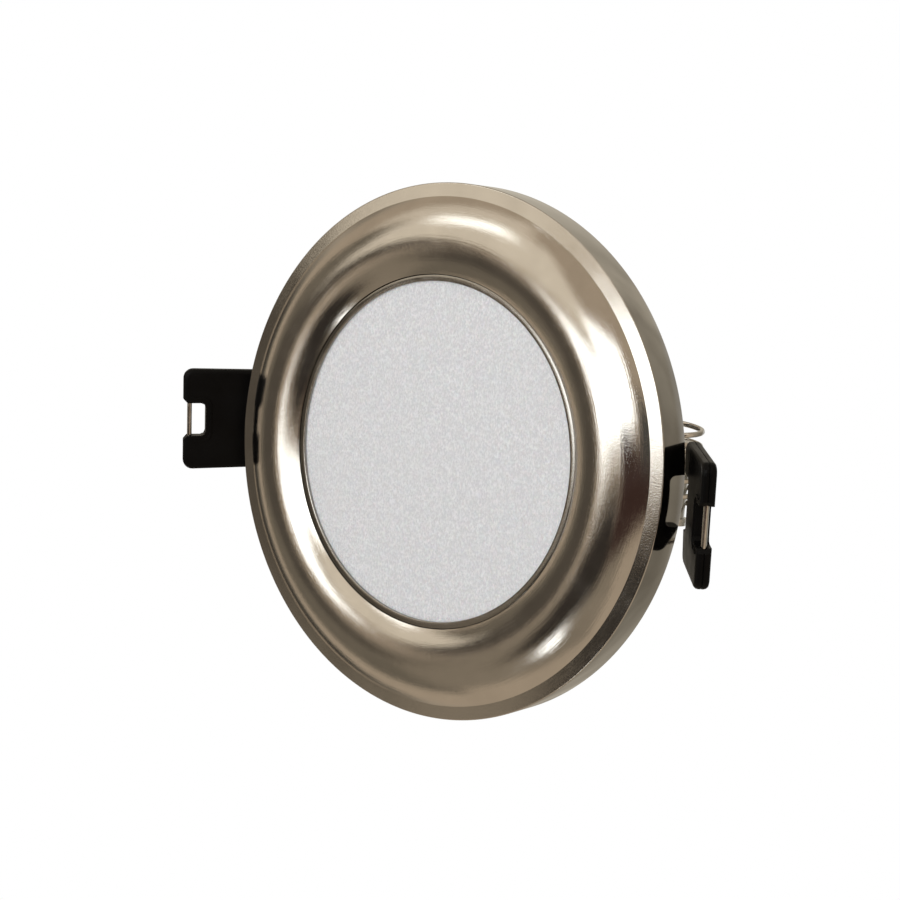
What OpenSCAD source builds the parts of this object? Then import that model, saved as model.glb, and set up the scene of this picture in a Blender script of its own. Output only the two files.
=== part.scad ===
// Soffit downlight: recessed round light with a nickel trim ring and two sprung clips.
// Frame: +Z up into the soffit, light shines down, origin at the centre of the face
// that meets the soffit. The clips lie along X, right clip at +X. Millimetres.

/* [Trim ring] */
// Outside diameter of the trim ring
trim_d = 122; // [120:0.5:126]
// Height of the side wall, rear rim to front crease
trim_h = 8.8; // [8:0.2:10]
// Wall thickness of the trim ring
trim_wall = 1.4; // [1.2:0.1:1.6]
// Width of the flat rim band outside the bead
band_w = 3.15; // [2.6:0.05:3.8]
// Drop of the rim band from the bead's crease to the front edge
band_drop = 0.2; // [0.1:0.05:0.4]
// Width of the bead, from its outer crease to the opening
bead_w = 17.55; // [16:0.05:18.5]
// How far the bead's inner edge stands in front of its outer crease
bead_lead = 1.4; // [1:0.1:2]
// Crown of the bead above the chord between its two edges
bead_crown = 2.7; // [2.4:0.1:3.4]
// Radius on the front edge of the side wall
edge_r = 0.3; // [0.2:0.05:0.5]

/* [Lens] */
// Width of the lip that shows round the diffuser
lip_w = 1.45; // [1.2:0.05:1.8]
// Thickness of the lip
lip_t = 0.7; // [0.6:0.1:0.9]
// Thickness of the lens ring's sleeve wall
sleeve_wall = 0.8; // [0.7:0.05:0.9]
// Thickness of the diffuser
diffuser_t = 2; // [1.6:0.2:2.4]
// Thickness of the ring gasket behind the diffuser
lens_gasket_t = 1; // [0.8:0.1:1.2]

/* [Housing] */
// Thickness of the can's wall
can_wall = 1.7; // [1.5:0.1:1.8]
// Height of the can above the soffit face
can_h = 9; // [8.6:0.2:10]
// Thickness of the housing's flange plate
plate_t = 2; // [1.6:0.2:2.2]
// Depth of the foam gasket on the flange
gasket_t = 1; // [0.8:0.1:1.2]
// Width of the flat clip pads on the can
pad_w = 17; // [16.5:0.5:19]
// How far a clip pad's face stands out from the can
pad_out = 1; // [0.8:0.1:1.5]

/* [Heat sink] */
// Thickness of the heat sink's base disc
sink_base_t = 3; // [2.6:0.2:3.4]
// Number of fins
fin_count = 24; // [16:2:28]
// Height of the fins
fin_h = 9; // [6:0.5:12]
// Thickness of a fin
fin_t = 1.6; // [1.2:0.1:2]
// Diameter of the hub for the cable gland
hub_d = 20; // [19:0.5:22]
// Height of the hub above the base disc
hub_h = 3; // [2.5:0.5:4]

/* [Light engine] */
// Margin between the circuit board and the can
board_margin = 2.3; // [1.8:0.1:3]
// Thickness of the circuit board
board_t = 1.6; // [1.2:0.1:2]
// Thickness of the thermal pad
thermal_t = 0.5; // [0.4:0.1:0.8]
// Distance from the soffit face up to the board's light side
board_z = 3.4; // [3:0.1:3.8]
// Thickness of the reflector
reflector_t = 1; // [0.8:0.1:1.2]
// Length of a light-emitting package
led_l = 3.5; // [3:0.1:4]
// Width of a light-emitting package
led_w = 2.8; // [2.4:0.1:3]
// Height of a light-emitting package
led_t = 0.7; // [0.5:0.1:0.9]

/* [Cable gland] */
// Diameter of the gland's threaded spigot
spigot_d = 12; // [11:0.5:13]
// Bore for the cord
cord_bore_d = 6; // [5:0.5:6.5]
// Width across flats of the gland's hexagon
gland_hex = 15; // [14:0.5:16]

/* [Clips] */
// Distance from a pad's face out to the clip's pivot
pivot_out = 6.5; // [6.2:0.1:7]
// Height of the pivot above the soffit face
pivot_z = 13.8; // [13:0.2:14.6]
// Diameter of the pivot pin
pin_d = 4.6; // [4.2:0.1:4.8]
// Thickness of the bracket's sheet
sheet_t = 0.8; // [0.7:0.1:1]
// Width of a paddle at its tip
paddle_w = 25.8; // [24:0.2:26.4]
// How much narrower a paddle is at its root
paddle_taper = 0.8; // [0.4:0.2:2]
// Thickness of a paddle
paddle_t = 3.1; // [3:0.1:3.6]
// Distance from the pivot to the paddle's tip
paddle_reach = 39; // [37:0.5:40]
// Distance from the pivot to the root end of the paddle's short leg
leg_start = 18; // [17:0.2:19]
// Distance from the pivot to the root end of its long leg, which rests on the rim
long_leg_start = 11.6; // [10:0.2:14]
// Distance from the pivot to the closed end of the root cut-out
web_start = 20.4; // [19.8:0.2:22]
// Width of the root cut-out
cutout_w = 11.6; // [10:0.2:12]
// Width of the notch in the tip
notch_w = 8.4; // [7.6:0.2:9]
// Depth of the notch in the tip
notch_depth = 5.6; // [4.6:0.2:6]
// Radius on the paddle's outer corners
paddle_corner = 2.4; // [1.5:0.1:3]
// Radius on the long edges of both faces
paddle_round = 1; // [0.8:0.1:1.2]
// How far along its pin a paddle sits off the middle
paddle_shift = 0.5; // [0.2:0.1:1.2]
// Lean of a paddle along its pin, in degrees, from the spring pulling on one side
paddle_skew = 4; // [1:0.2:4.6]
// Roll of a paddle, in degrees: it rests on one leg, and the other side stands off the rim
paddle_roll = 2.8; // [0:0.2:3.6]

/* [Springs] */
// Diameter of the spring wire
wire_d = 1.2; // [1:0.05:1.3]
// Mean radius of the coil
coil_r = 4.2; // [4:0.05:4.4]
// Rise of the coil for each turn
coil_pitch = 3.4; // [3.2:0.05:3.5]
// Whole turns in the coil, beside its last part turn
coil_turns = 5; // [4:1:5]
// Distance from the paddle's side to each arm of the wire
arm_in = 2.1; // [1.9:0.1:2.4]

/* [Screws] */
// Diameter of the screws
screw_d = 3; // [2.8:0.1:3]
// Diameter of the screw heads
head_d = 5.4; // [5:0.1:5.6]
// Height of the screw heads
head_h = 1.8; // [1.5:0.1:2]

/* [Hidden] */

// Clearances, each used wherever its kind of fit occurs
run_gap = 0.05;
seat_gap = 0.1;
slide_gap = 0.15;
stop_gap = 0.2;
rim_gap = 0.3;

// Facets of large and small round parts
round_fn = 120;
small_fn = 32;

// Colours
nickel = "#b3a998";
steel = "#c9c7c2";
cast_metal = "#9a9c9e";
black_plastic = "#141414";

// ---- Trim ring: heights and the bead's arc ----
rim_z = -gasket_t / 2;
crease_z = rim_z - trim_h;
lip_z = crease_z - bead_lead;
trim_r = trim_d / 2;
crease_r = trim_r - band_w;
open_r = crease_r - bead_w;
hem_wall = 1.2;
boss_count = 4;
boss_angle = 45;
hem_r = open_r + hem_wall;
hem_h = 4.8;
hem_z = lip_z + hem_h;
bead_steps = 28;
bead_chord = norm([crease_r - open_r, bead_lead]);
bead_radius = (pow(bead_chord / 2, 2) + pow(bead_crown, 2)) / (2 * bead_crown);
bead_tilt = atan2(bead_lead, crease_r - open_r);
bead_half = asin(bead_chord / 2 / bead_radius);
bead_centre = [(crease_r + open_r) / 2 - sin(bead_tilt) * (bead_radius - bead_crown),
               (crease_z + lip_z) / 2 + cos(bead_tilt) * (bead_radius - bead_crown)];
crown_z = (crease_z + lip_z) / 2 - cos(bead_tilt) * bead_crown;

// ---- Housing, flange and gasket ----
plate_top = -gasket_t;
plate_bottom = plate_top - plate_t;
plate_r = trim_r - trim_wall - rim_gap;
can_inner_r = hem_r + rim_gap;
can_r = can_inner_r + can_wall;
skirt_h = 2;
skirt_z = hem_z - skirt_h;
pad_x = can_r + pad_out;
pad_in_x = can_inner_r + seat_gap;

// ---- Lens stack, from the lip back to the board ----
lens_ring_r = open_r - slide_gap;
lens_inner_r = lens_ring_r - sleeve_wall;
lip_r = lens_ring_r - lip_w;
lip_back = 0.2;
lip_front_z = lip_z + lip_back;
diffuser_r = lens_inner_r - seat_gap;
diffuser_z = lip_front_z + lip_t;
lens_gasket_w = 2.4;
lens_gasket_z = diffuser_z + diffuser_t;
reflector_r = diffuser_r - seat_gap;
reflector_flange = 2.2;
reflector_z = lens_gasket_z + lens_gasket_t;
ring_flange_t = 0.8;
clamp_z = hem_z + ring_flange_t;
clamp_t = 1.2;
clamp_r = lens_ring_r + rim_gap;

// ---- Light engine and heat sink ----
board_r = can_inner_r - board_margin;
thermal_z = board_z + board_t;
sink_z = thermal_z + thermal_t;
sink_top = sink_z + sink_base_t;
sink_r = can_inner_r - stop_gap;
ledge_r = board_r + rim_gap;
ledge_t = 1.1;
fin_margin = 0.8;
fin_r = sink_r - fin_margin;
fin_hub_gap = 3;
fin_start_r = hub_d / 2 + fin_hub_gap;
board_screw_count = 3;
board_screw_angle = 30;
board_screw_in = 3;
board_screw_r = board_r - board_screw_in;
board_screw_l = board_t + thermal_t + 2;
pad_margin = 0.5;
lead_hole_d = 8;
connector_l = 7;
connector_w = 4.4;
connector_h = 3.4;
connector_angle = 15;
socket_d = 1.6;
reflector_rear_r = board_screw_r - head_d / 2 - rim_gap;
// Three rings of packages, at even steps out to the reflector
led_ring_count = 3;
led_step = (reflector_rear_r - reflector_t - led_w / 2 - 1.9) / led_ring_count;

// ---- Cable gland ----
gland_z = sink_top + hub_h;
hex_h = 4;
collar_h = 3.6;
seal_z = gland_z + 2;
seal_h = 6;
seal_d = cord_bore_d + 3;
cap_wall = 1.5;
cap_h = 8;
cap_ribs = 12;
cap_rib_d = 1.2;
cap_nose_h = 3;
cap_lip_h = 1.4;
cap_nose_in = 2.4;
bore_cut = seal_h + cap_h;
gland_fn = 64;

// ---- Clips: bracket, pin and the frame of a paddle ----
pivot_x = pad_x + pivot_out;
ear_r = pin_d / 2 + 0.6;
neck_h = 4;
base_half = pad_w / 2 - run_gap;
ear_y = base_half - sheet_t / 2;
pad_top = pivot_z + ear_r;
pin_head_d = pin_d + 1;
pin_head_t = 0.8;
bracket_screw_in = 4;
bracket_screw_y = pad_w / 2 - bracket_screw_in;
bracket_screw_z = plate_top + sheet_t + head_d / 2 + seat_gap;
bracket_screw_l = sheet_t + pad_x - pad_in_x;
// The coil's first turns pass either side of an ear
coil_y = -ear_y - 1.5 * coil_pitch;
foot_margin = 1.2;
foot_reach = pivot_out - coil_r + wire_d / 2 + foot_margin;
foot_y = coil_y - wire_d / 2 - foot_margin;
// Inner face of a paddle, measured from its pivot
face_back = 0.6;
stop_r = norm([trim_r - pivot_x, pivot_z - rim_z]);
// Lean of a closed paddle below the soffit face: its inner face rests on the rim's outer edge
lean = atan2(pivot_z - rim_z, trim_r - pivot_x) - asin((face_back + stop_gap) / stop_r);
root_w = paddle_w - paddle_taper;
tip_in = 1.6;
bar_x = paddle_reach - tip_in;
arm_y = root_w / 2 - arm_in;
arm_z = paddle_t / 2;
bore_d = wire_d + 2 * slide_gap;
past_bend = wire_d / 2 + seat_gap;
groove = 0.2;
rib_w = 0.5;
rib_h = 0.25;
rib_out = 1.5;

// ---- Gasket and screws, in the space outside the clips' feet ----
gasket_inner_r = norm([pad_x + foot_reach, foot_y]) + rim_gap;
gasket_margin = 0.7;
gasket_outer_r = plate_r - gasket_margin;
boss_r = (can_r + gasket_inner_r) / 2;
boss_d = screw_d + 3.2;
boss_screw_l = plate_t + 2 * screw_d;

// A point of the paddle, in the clip's frame: rolled on the leg that rests, then turned and moved
function on_paddle(x, y, z) =
    let (v = y + cutout_w / 2,
         w = v * cos(paddle_roll) - z * sin(paddle_roll) - cutout_w / 2)
    [x * cos(paddle_skew) - w * sin(paddle_skew),
     x * sin(paddle_skew) + w * cos(paddle_skew) + paddle_shift,
     v * sin(paddle_roll) + z * cos(paddle_roll) - face_back];

// ---- Spring: a coil round the pin, then a U through the paddle ----
// The arm leaves the coil on the tangent that meets the low leg's mouth
mouth = on_paddle(leg_start - 1, arm_y, arm_z);
arm_tilt = asin(coil_r / norm([mouth[0], mouth[2]])) - atan2(mouth[2], mouth[0]);
coil_start = -90 - lean;
coil_end = arm_tilt + 360 * coil_turns;
rings_per_turn = 8;
wire_sides = 6;
coil_rings = ceil(rings_per_turn * (coil_end - coil_start) / 360);

// ---- Helpers ----
function unit(v) = v / norm(v);
function polar(c, r, a) = [c[0] + r * cos(a), c[1] + r * sin(a)];

// Points of one rounded corner between the lines a-b and b-c; one step gives a chamfer
function corner(a, b, c, r, steps) =
    let (u = unit(a - b), v = unit(c - b), half = acos(u * v) / 2,
         from = b + u * r / tan(half), centre = b + unit(u + v) * r / sin(half),
         turn = 180 - 2 * half, sense = sign(cross(v, u)))
    [for (i = [0 : steps])
        let (w = from - centre, k = sense * turn * i / steps)
        centre + [w[0] * cos(k) - w[1] * sin(k), w[0] * sin(k) + w[1] * cos(k)]];

// Outline from rows of [x, y, radius, steps]
function rounded(rows) =
    let (n = len(rows))
    [for (i = [0 : n - 1])
        let (a = rows[(i + n - 1) % n], b = rows[i], c = rows[(i + 1) % n])
        each corner([a[0], a[1]], [b[0], b[1]], [c[0], c[1]], b[2], b[3])];

// Flat ring or disc between two heights
module ring(outer_r, inner_r, z0, z1) {
    difference() {
        translate([0, 0, z0]) cylinder(r = outer_r, h = z1 - z0, $fn = round_fn);
        if (inner_r > 0)
            translate([0, 0, z0 - 1]) cylinder(r = inner_r, h = z1 - z0 + 2, $fn = round_fn);
    }
}

// Copies evenly round the Z axis
module around(count, r, first = 0) {
    for (i = [0 : count - 1])
        rotate([0, 0, first + 360 * i / count]) translate([r, 0, 0]) children();
}

// Pan-head screw pointing down, its head's underside at the origin
module screw(length) {
    translate([0, 0, -length]) cylinder(d = screw_d, h = length + 0.5, $fn = small_fn);
    difference() {
        cylinder(d1 = head_d, d2 = head_d - 1, h = head_h, $fn = small_fn);
        for (a = [0, 90])
            rotate([0, 0, a]) translate([-1.5, -0.3, head_h - 0.9]) cube([3, 0.6, 2]);
    }
}

// Hole for a screw pointing down from the origin
module screw_hole(depth) {
    translate([0, 0, -depth]) cylinder(d = screw_d + 2 * run_gap, h = depth + 1, $fn = small_fn);
}

// Cylinder along +Y
module rod_y(d, y0, y1) {
    translate([0, y0, 0]) rotate([-90, 0, 0]) cylinder(d = d, h = y1 - y0, $fn = small_fn);
}

// Places children at the right clip's pivot, or mirrors them to the left clip
module clip_side(side) {
    if (side == "right") children();
    else mirror([1, 0, 0]) children();
}

module at_pivot() {
    translate([pivot_x, 0, pivot_z]) rotate([0, lean, 0]) children();
}

// ---- Trim ring ----
function bead(r, from, to, steps) =
    [for (i = [0 : steps]) polar(bead_centre, r, from + (to - from) * i / steps)];

module trim_ring() {
    inner_radius = bead_radius - trim_wall;
    front = bead(bead_radius, bead_half + bead_tilt - 90, bead_tilt - 90 - bead_half, bead_steps);
    hem_angle = -acos((hem_r - bead_centre[0]) / inner_radius);
    back = bead(inner_radius, hem_angle, bead_half + bead_tilt - 90, bead_steps);
    edge = [for (a = [0 : -15 : -90])
        polar([trim_r - edge_r, crease_z + band_drop + edge_r], edge_r, a)];
    outline = concat([[trim_r, rim_z]], edge, front, [[open_r, hem_z], [hem_r, hem_z]], back,
                     [[trim_r - trim_wall, crease_z + band_drop + trim_wall],
                      [trim_r - trim_wall, rim_z]]);
    color(nickel) difference() {
        union() {
            rotate_extrude($fn = round_fn) polygon(outline);
            around(boss_count, boss_r, boss_angle) translate([0, 0, crown_z + trim_wall / 2])
                cylinder(d = boss_d, h = plate_bottom - crown_z - trim_wall / 2, $fn = small_fn);
        }
        around(boss_count, boss_r, boss_angle) translate([0, 0, plate_bottom])
            screw_hole(boss_screw_l - plate_t + rim_gap);
    }
}

// ---- Lens ring, diffuser and the parts behind them ----
module lens_ring() {
    color(nickel) rotate_extrude($fn = round_fn) polygon([
        [lip_r, lip_front_z + 0.2], [lip_r + 0.2, lip_front_z], [lens_ring_r, lip_front_z],
        [lens_ring_r, hem_z], [hem_r, hem_z], [hem_r, clamp_z],
        [lens_inner_r, clamp_z], [lens_inner_r, diffuser_z], [lip_r, diffuser_z]]);
}

module diffuser() {
    color("white") ring(diffuser_r, 0, diffuser_z, lens_gasket_z);
}

module lens_gasket() {
    color("#8a8a8a") ring(diffuser_r, diffuser_r - lens_gasket_w, lens_gasket_z, reflector_z);
}

module reflector() {
    throat_r = reflector_r - reflector_flange;
    color("white") rotate_extrude($fn = round_fn) polygon([
        [throat_r, reflector_z], [reflector_r, reflector_z],
        [reflector_r, reflector_z + reflector_t], [throat_r + reflector_t, reflector_z + reflector_t],
        [reflector_rear_r, board_z], [reflector_rear_r - reflector_t, board_z]]);
}

module board_screw_places() {
    around(board_screw_count, board_screw_r, board_screw_angle) children();
}

module led_board() {
    color("#e8e8e2") difference() {
        ring(board_r, lead_hole_d / 2, board_z, thermal_z);
        board_screw_places() translate([0, 0, thermal_z + 1]) screw_hole(board_t + 2);
    }
}

module leds() {
    color("#e9d98a") for (i = [1 : led_ring_count])
        around(6 * i, led_step * i)
            translate([-led_w / 2, -led_l / 2, board_z - led_t]) cube([led_w, led_l, led_t]);
}

module board_connector() {
    color("#f2f2ee") rotate([0, 0, connector_angle]) translate([1.5 * led_step, 0, board_z])
        mirror([0, 0, 1]) difference() {
            translate([-connector_w / 2, -connector_l / 2, 0])
                cube([connector_w, connector_l, connector_h]);
            for (y = [-1, 1])
                translate([-connector_w, y * connector_l / 4, connector_h / 2]) rotate([0, 90, 0])
                    cylinder(d = socket_d, h = connector_w + 1, $fn = small_fn);
        }
}

module board_screws() {
    color(steel) board_screw_places() translate([0, 0, board_z]) mirror([0, 0, 1])
        screw(board_screw_l);
}

module thermal_pad() {
    color("#8fa3b0") difference() {
        ring(board_r - pad_margin, lead_hole_d / 2 + 1, thermal_z, sink_z);
        board_screw_places() translate([0, 0, sink_z + 1]) screw_hole(thermal_t + 2);
    }
}

// ---- Housing ----
module rear_housing() {
    color(cast_metal) difference() {
        union() {
            ring(can_r, can_inner_r, skirt_z, can_h);
            ring(plate_r, can_r - can_wall / 2, plate_bottom, plate_top);
            ring(can_r - can_wall / 2, clamp_r, clamp_z, clamp_z + clamp_t);
            ring(can_r - can_wall / 2, ledge_r, sink_z - ledge_t, sink_z);
            for (side = [0, 1]) mirror([side, 0, 0])
                translate([pad_in_x, -pad_w / 2, plate_top - 0.5])
                    cube([pad_x - pad_in_x, pad_w, pad_top - plate_top + 0.5]);
        }
        around(boss_count, boss_r, boss_angle) translate([0, 0, plate_top]) screw_hole(plate_t + 1);
        for (side = [0, 1]) mirror([side, 0, 0]) for (y = [-1, 1])
            translate([pad_x, y * bracket_screw_y, bracket_screw_z]) rotate([0, 90, 0])
                screw_hole(pad_x - can_inner_r + 2 * rim_gap);
    }
}

module heat_sink() {
    color(cast_metal) difference() {
        union() {
            ring(sink_r, 0, sink_z, sink_top);
            ring(hub_d / 2, 0, sink_z, gland_z);
            around(fin_count, 0) translate([fin_start_r, -fin_t / 2, sink_top - 0.5])
                cube([fin_r - fin_start_r, fin_t, fin_h + 0.5]);
        }
        translate([0, 0, sink_z - 1])
            cylinder(d = spigot_d + 2 * run_gap, h = gland_z - sink_z + 2, $fn = gland_fn);
        board_screw_places() translate([0, 0, sink_z]) mirror([0, 0, 1])
            screw_hole(board_screw_l - board_t - thermal_t + rim_gap);
    }
}

module trim_screws() {
    color(steel) around(boss_count, boss_r, boss_angle) translate([0, 0, plate_top])
        screw(boss_screw_l);
}

module flange_gasket() {
    color("#1c1c1c") ring(gasket_outer_r, gasket_inner_r, plate_top, 0);
}

// ---- Cable gland ----
module gland_body() {
    color("#1f1f1f") difference() {
        union() {
            translate([0, 0, sink_z]) cylinder(d = spigot_d, h = gland_z - sink_z, $fn = gland_fn);
            translate([0, 0, gland_z])
                cylinder(d = gland_hex / cos(30), h = hex_h, $fn = 6);
            translate([0, 0, gland_z]) cylinder(d = spigot_d, h = hex_h + collar_h, $fn = gland_fn);
        }
        translate([0, 0, sink_z - 1])
            cylinder(d = cord_bore_d + 0.6, h = seal_z - sink_z + bore_cut, $fn = gland_fn);
        translate([0, 0, seal_z])
            cylinder(d = seal_d + 2 * run_gap, h = bore_cut, $fn = gland_fn);
    }
}

module gland_seal() {
    color("#303030") translate([0, 0, seal_z]) difference() {
        cylinder(d = seal_d, h = seal_h, $fn = gland_fn);
        translate([0, 0, -1]) cylinder(d = cord_bore_d, h = seal_h + 2, $fn = gland_fn);
    }
}

module gland_cap() {
    cap_z = gland_z + hex_h + seat_gap;
    cap_r = spigot_d / 2 + cap_wall;
    color("#1f1f1f") difference() {
        union() {
            rotate_extrude($fn = gland_fn) polygon([[0, cap_z], [cap_r, cap_z],
                [cap_r, cap_z + cap_h - cap_nose_h],
                [cap_r - cap_nose_in / 3, cap_z + cap_h - cap_lip_h],
                [cap_r - cap_nose_in, cap_z + cap_h], [0, cap_z + cap_h]]);
            around(cap_ribs, cap_r - 0.2) translate([0, 0, cap_z])
                cylinder(d = cap_rib_d, h = cap_h - cap_nose_h - cap_rib_d / 3, $fn = 16);
        }
        translate([0, 0, cap_z - 1])
            cylinder(d = spigot_d + 2 * run_gap, h = 1 + collar_h, $fn = gland_fn);
        translate([0, 0, cap_z])
            cylinder(d = seal_d + 2 * run_gap, h = seal_z + seal_h - cap_z, $fn = gland_fn);
        translate([0, 0, cap_z]) cylinder(d = cord_bore_d + 0.6, h = cap_h + 1, $fn = gland_fn);
    }
}

// ---- Clip brackets, screws and pins ----
module bracket() {
    color(steel) difference() {
        union() {
            translate([pad_x, -base_half, plate_top])
                cube([sheet_t, 2 * base_half, pad_top - plate_top]);
            for (side = [-1, 1]) translate([0, side * ear_y, 0]) {
                translate([pad_x, -sheet_t / 2, pivot_z - neck_h / 2])
                    cube([pivot_out, sheet_t, neck_h]);
                translate([pivot_x, 0, pivot_z]) rod_y(2 * ear_r, -sheet_t / 2, sheet_t / 2);
            }
            translate([pad_x, foot_y, plate_top]) cube([foot_reach, base_half - foot_y, sheet_t]);
        }
        translate([pivot_x, 0, pivot_z]) rod_y(pin_d + 2 * run_gap, -pad_w, pad_w);
        translate([pivot_x - coil_r, coil_y, plate_top - 1])
            cylinder(d = wire_d + 2 * seat_gap, h = sheet_t + 2, $fn = small_fn);
        for (y = [-1, 1])
            translate([pad_x + sheet_t, y * bracket_screw_y, bracket_screw_z]) rotate([0, 90, 0])
                screw_hole(sheet_t + 1);
    }
}

module bracket_screws() {
    color(steel) for (side = [0, 1]) mirror([side, 0, 0]) for (y = [-1, 1])
        translate([pad_x + sheet_t, y * bracket_screw_y, bracket_screw_z]) rotate([0, 90, 0])
            screw(bracket_screw_l);
}

module pin() {
    color(steel) translate([pivot_x, 0, pivot_z]) {
        rod_y(pin_d, -base_half, base_half);
        for (side = [0, 1]) mirror([0, side, 0])
            rod_y(pin_head_d, base_half, base_half + pin_head_t);
    }
}

// ---- Spring ----
// Path of the wire in the clip's frame: foot, coil, low arm, cross bar, high arm
function to_clip(p) = let (q = p - [pivot_x, 0, pivot_z])
    [q[0] * cos(lean) - q[2] * sin(lean), q[1], q[0] * sin(lean) + q[2] * cos(lean)];

function coil_point(i) =
    let (a = coil_start + (coil_end - coil_start) * i / coil_rings)
    [coil_r * sin(a), coil_y + coil_pitch * (a - coil_start) / 360, coil_r * cos(a)];

spring_path = concat(
    [to_clip([pivot_x - coil_r, coil_y, plate_top + seat_gap]),
     to_clip([pivot_x - coil_r, coil_y, pivot_z - coil_r])],
    [for (i = [0 : coil_rings]) coil_point(i)],
    [mouth,
     on_paddle(bar_x, arm_y, arm_z),
     on_paddle(bar_x, -arm_y, arm_z),
     on_paddle(long_leg_start - 1, -arm_y, arm_z)]);

function leg(p, i) = unit(p[i + 1] - p[i]);
function heading(p, i) = unit(leg(p, min(i, len(p) - 2)) + leg(p, max(i - 1, 0)));
function square_to(v, t) = unit(v - t * (v * t));

// Ring directions carried along the path without twist
function carried(p) =
    [for (i = 0, t = heading(p, 0), u = square_to([0, 1, 0.3], t); i < len(p);
          i = i + 1, t = i < len(p) ? heading(p, i) : t, u = square_to(u, t))
        [u, cross(t, u)]];

module tube(path, d, sides) {
    frames = carried(path);
    n = len(path);
    points = [for (i = [0 : n - 1]) for (k = [0 : sides - 1])
        path[i] + (frames[i][0] * cos(360 * k / sides) + frames[i][1] * sin(360 * k / sides)) * d / 2];
    sides_faces = [for (i = [0 : n - 2]) for (k = [0 : sides - 1])
        let (a = i * sides + k, b = i * sides + (k + 1) % sides)
        each [[a, b + sides, b], [a, a + sides, b + sides]]];
    caps = [for (k = [1 : sides - 2])
        each [[0, k, k + 1],
              [(n - 1) * sides, (n - 1) * sides + k + 1, (n - 1) * sides + k]]];
    polyhedron(points, concat(sides_faces, caps));
}

// Least gap of the wire to itself, between points more than half a turn apart
spring_gap = min([for (i = [0 : len(spring_path) - 1]) for (j = [i + 5 : 1 : len(spring_path) - 1])
    norm(spring_path[i] - spring_path[j])]) - wire_d;
echo(spring_least_gap_mm = spring_gap);

module spring() {
    color(steel) at_pivot() tube(spring_path, wire_d, wire_sides);
}

// ---- Paddle ----
// Outline of the slab, drawn in by inset
function paddle_outline(inset) =
    let (tip = paddle_reach - inset, r = paddle_corner - inset,
         tip_half = paddle_w / 2 - inset, root_half = root_w / 2 - inset)
    rounded([[tip, tip_half, r, 6], [leg_start + inset, root_half, r, 6],
             [long_leg_start + inset, -root_half, r, 6], [tip, -tip_half, r, 6]]);

// Slab with rounded long edges and a fine groove at its parting line
module paddle_slab() {
    skin = 0.01;
    difference() {
        hull() for (a = [0 : 30 : 90]) {
            z = paddle_round * (1 - cos(a));
            inset = paddle_round * (1 - sin(a));
            translate([0, 0, z]) linear_extrude(skin) polygon(paddle_outline(inset));
            translate([0, 0, paddle_t - z - skin]) linear_extrude(skin)
                polygon(paddle_outline(inset));
        }
        translate([0, 0, (paddle_t - groove) / 2]) linear_extrude(groove) difference() {
            square(3 * paddle_reach, center = true);
            polygon(paddle_outline(groove));
        }
    }
}

// Outline of the notch for the cross bar, grown by extra
function notch(extra) =
    let (end = paddle_reach - notch_depth - extra, half = notch_w / 2 + extra, r = 1.2 + extra / 2)
    rounded([[paddle_reach + 1, half, 0.2, 1], [end, half, r, 2], [end, -half, r, 2],
             [paddle_reach + 1, -half, 0.2, 1]]);

// The opening between the two legs
function cutout() = rounded([
    [long_leg_start - 1, cutout_w / 2, 0.2, 1], [web_start, cutout_w / 2, 1.5, 4],
    [web_start, -cutout_w / 2, 1.5, 4], [long_leg_start - 1, -cutout_w / 2, 0.2, 1]]);

module paddle() {
    mouth_cut = 1;
    color(black_plastic) at_pivot() translate([0, paddle_shift, 0]) rotate([0, 0, paddle_skew])
        translate([0, -cutout_w / 2, -face_back]) rotate([paddle_roll, 0, 0])
            translate([0, cutout_w / 2, 0]) difference() {
                union() {
                    paddle_slab();
                    // Fine raised line round the notch, on the inner face
                    translate([0, 0, -rib_h]) intersection() {
                        linear_extrude(1) polygon(notch(rib_out));
                        translate([paddle_reach - notch_depth - 2, -notch_w, 0])
                            cube([notch_depth, 2 * notch_w, 1]);
                    }
                }
                translate([0, 0, -1]) {
                    linear_extrude(1) polygon(notch(rib_out - rib_w));
                    linear_extrude(paddle_t + 2) polygon(notch(0));
                    linear_extrude(paddle_t + 2) polygon(cutout());
                    // Chamfers at the notch's mouth
                    for (y = [-1, 1])
                        translate([paddle_reach, y * notch_w / 2, 0]) rotate([0, 0, 45])
                            translate([-mouth_cut, -mouth_cut, 0] / sqrt(2))
                                cube([sqrt(2) * mouth_cut, sqrt(2) * mouth_cut, paddle_t + 2]);
                }
                // Bores for the wire: an arm in each leg and the cross bar
                for (leg = [[leg_start, arm_y], [long_leg_start, -arm_y]])
                    translate([leg[0] - 1, leg[1], arm_z]) rotate([0, 90, 0])
                        cylinder(d = bore_d, h = bar_x + past_bend - leg[0] + 1, $fn = small_fn);
                translate([bar_x, 0, arm_z])
                    rod_y(bore_d + seat_gap, -arm_y - past_bend, arm_y + past_bend);
            }
}

trim_ring();
lens_ring();
diffuser();
lens_gasket();
reflector();
led_board();
leds();
board_connector();
board_screws();
thermal_pad();
rear_housing();
heat_sink();
trim_screws();
flange_gasket();
gland_body();
gland_seal();
gland_cap();
bracket_screws();
clip_side("left") bracket();  // left_bracket
clip_side("right") bracket();  // right_bracket
clip_side("left") pin();  // left_pin
clip_side("right") pin();  // right_pin
clip_side("left") spring();  // left_spring
clip_side("right") spring();  // right_spring
clip_side("left") paddle();  // left_paddle
clip_side("right") paddle();  // right_paddle
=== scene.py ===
"""Soffit downlight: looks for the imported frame. Metres, +Z up into the soffit, the light faces -Z."""
import math

import bmesh
import bpy
from mathutils import Matrix, Vector


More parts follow.
